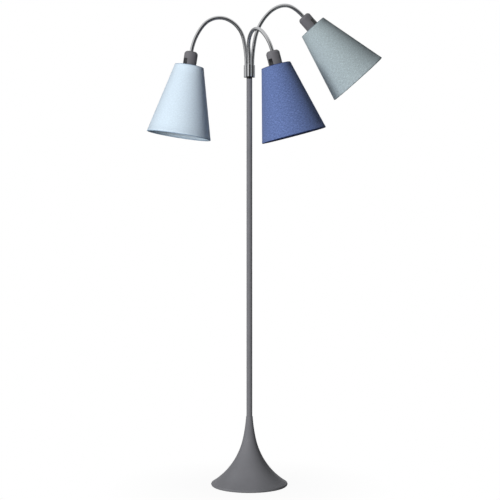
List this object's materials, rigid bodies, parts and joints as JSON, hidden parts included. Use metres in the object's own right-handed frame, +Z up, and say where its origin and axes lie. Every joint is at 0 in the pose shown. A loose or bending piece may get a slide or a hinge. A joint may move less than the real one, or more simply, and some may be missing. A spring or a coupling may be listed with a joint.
{
  "type": "tree floor lamp",
  "caption": "Floor lamp with a trumpet foot, slim pole and gooseneck arms, each ending in a switched lampholder with a tapered fabric shade.",
  "frame": {"origin": "on the floor at the centre of the foot's pad, under the pole's axis", "axes": "+Z up along the pole, -Y towards the side the lamp is seen from, +X to that viewer's right"},
  "size_m": [0.7392, 0.3627, 1.5075],
  "materials": {
    "grey_metal": "satin",
    "weight_iron": "rough",
    "plain_steel": "satin",
    "pad_rubber": "matt",
    "chrome": "polished",
    "black_plastic": "matt",
    "grey_plastic": "matt",
    "switch_plastic": "matt",
    "ring_plastic": "matt",
    "left_fabric": "woven",
    "front_fabric": "woven",
    "right_fabric": "woven",
    "white_wire": "satin",
    "bulb_glass": "opal",
    "bulb_metal": "satin"
  },
  "bodies": {
    "stand": {"base_shell": "grey_metal", "base_weight": "weight_iron", "base_plate": "plain_steel", "base_pad": "pad_rubber", "spacer_tube": "plain_steel", "tie_tube": "plain_steel", "tie_nut": "plain_steel", "tie_washer": "plain_steel", "pole_seat": "plain_steel", "cord_outlet_bush": "black_plastic", "pole": "grey_metal", "pole_insert": "plain_steel", "pole_plug": "black_plastic", "hub_core": "chrome", "left_sleeve": "chrome", "front_sleeve": "chrome", "right_sleeve": "chrome"},
    "left_lower": {"left_arm_1": "chrome"},
    "left_middle": {"left_arm_2": "chrome"},
    "left_upper": {"left_arm_3": "chrome"},
    "left_head": {"left_arm_4": "chrome", "left_end_nipple": "plain_steel", "left_holder_cap": "grey_plastic", "left_holder_skirt": "grey_plastic", "left_socket_insert": "black_plastic", "left_shade_ring": "ring_plastic", "left_shade": "left_fabric", "left_shade_frame": "white_wire", "left_bulb_glass": "bulb_glass", "left_bulb_cap": "bulb_metal"},
    "left_rocker": {"left_rocker": "switch_plastic"},
    "front_lower": {"front_arm_1": "chrome"},
    "front_middle": {"front_arm_2": "chrome"},
    "front_upper": {"front_arm_3": "chrome"},
    "front_head": {"front_arm_4": "chrome", "front_end_nipple": "plain_steel", "front_holder_cap": "grey_plastic", "front_holder_skirt": "grey_plastic", "front_socket_insert": "black_plastic", "front_shade_ring": "ring_plastic", "front_shade": "front_fabric", "front_shade_frame": "white_wire", "front_bulb_glass": "bulb_glass", "front_bulb_cap": "bulb_metal"},
    "front_rocker": {"front_rocker": "switch_plastic"},
    "right_lower": {"right_arm_1": "chrome"},
    "right_middle": {"right_arm_2": "chrome"},
    "right_upper": {"right_arm_3": "chrome"},
    "right_head": {"right_arm_4": "chrome", "right_end_nipple": "plain_steel", "right_holder_cap": "grey_plastic", "right_holder_skirt": "grey_plastic", "right_socket_insert": "black_plastic", "right_shade_ring": "ring_plastic", "right_shade": "right_fabric", "right_shade_frame": "white_wire", "right_bulb_glass": "bulb_glass", "right_bulb_cap": "bulb_metal"},
    "right_rocker": {"right_rocker": "switch_plastic"}
  },
  "joints": [
    {"name": "left_lean", "type": "hinge", "parent": "stand", "child": "left_lower", "pos_m": [-0.00953, 0.0055, 1.315], "axis": [0.2689, -0.9632, 0], "range_deg": [-8, 20]},
    {"name": "left_side", "type": "hinge", "parent": "left_lower", "child": "left_middle", "pos_m": [-0.01849, 0.003, 1.39478], "axis": [-0.9133, -0.3365, -0.2293], "range_deg": [-30, 30]},
    {"name": "left_arch", "type": "hinge", "parent": "left_middle", "child": "left_upper", "pos_m": [-0.06601, -0.01319, 1.45179], "axis": [-0.2348, 0.9393, 0.2502], "range_deg": [-12, 30]},
    {"name": "left_tilt", "type": "hinge", "parent": "left_upper", "child": "left_head", "pos_m": [-0.14397, -0.02689, 1.43008], "axis": [0.0546, 0.9984, 0.0168], "range_deg": [-15, 35]},
    {"name": "left_switch", "type": "hinge", "parent": "left_head", "child": "left_rocker", "pos_m": [-0.19427, -0.0336, 1.31775], "axis": [0.7369, -0.6635, -0.1298], "range_deg": [0, 12]},
    {"name": "front_lean", "type": "hinge", "parent": "stand", "child": "front_lower", "pos_m": [0, -0.011, 1.315], "axis": [0.9455, -0.3256, 0], "range_deg": [-8, 25]},
    {"name": "front_side", "type": "hinge", "parent": "front_lower", "child": "front_middle", "pos_m": [-0.00213, -0.0172, 1.36078], "axis": [0.5527, -0.8153, -0.1728], "range_deg": [-30, 25]},
    {"name": "front_arch", "type": "hinge", "parent": "front_middle", "child": "front_upper", "pos_m": [0.00795, -0.05334, 1.40713], "axis": [-0.8009, -0.5308, -0.2773], "range_deg": [-5, 30]},
    {"name": "front_tilt", "type": "hinge", "parent": "front_upper", "child": "front_head", "pos_m": [0.03873, -0.09549, 1.3989], "axis": [-0.7893, -0.5631, -0.245], "range_deg": [-8, 35]},
    {"name": "front_switch", "type": "hinge", "parent": "front_head", "child": "front_rocker", "pos_m": [0.06848, -0.11966, 1.30119], "axis": [0.7351, -0.6619, 0.147], "range_deg": [0, 12]},
    {"name": "right_lean", "type": "hinge", "parent": "stand", "child": "right_lower", "pos_m": [0.00953, 0.0055, 1.315], "axis": [0.7891, 0.6143, 0], "range_deg": [-10, 25]},
    {"name": "right_side", "type": "hinge", "parent": "right_lower", "child": "right_middle", "pos_m": [0.01818, -0.00562, 1.39618], "axis": [0.8768, 0.4774, -0.058], "range_deg": [-30, 30]},
    {"name": "right_arch", "type": "hinge", "parent": "right_middle", "child": "right_upper", "pos_m": [0.06148, -0.01384, 1.47348], "axis": [0.5691, -0.6578, -0.4934], "range_deg": [-25, 30]},
    {"name": "right_tilt", "type": "hinge", "parent": "right_upper", "child": "right_head", "pos_m": [0.13113, 0.02603, 1.50067], "axis": [0.6586, -0.5248, 0.5393], "range_deg": [-25, 35]},
    {"name": "right_switch", "type": "hinge", "parent": "right_head", "child": "right_rocker", "pos_m": [0.20051, 0.04029, 1.45533], "axis": [0.5365, 0.6394, 0.5508], "range_deg": [0, 12]}
  ]
}
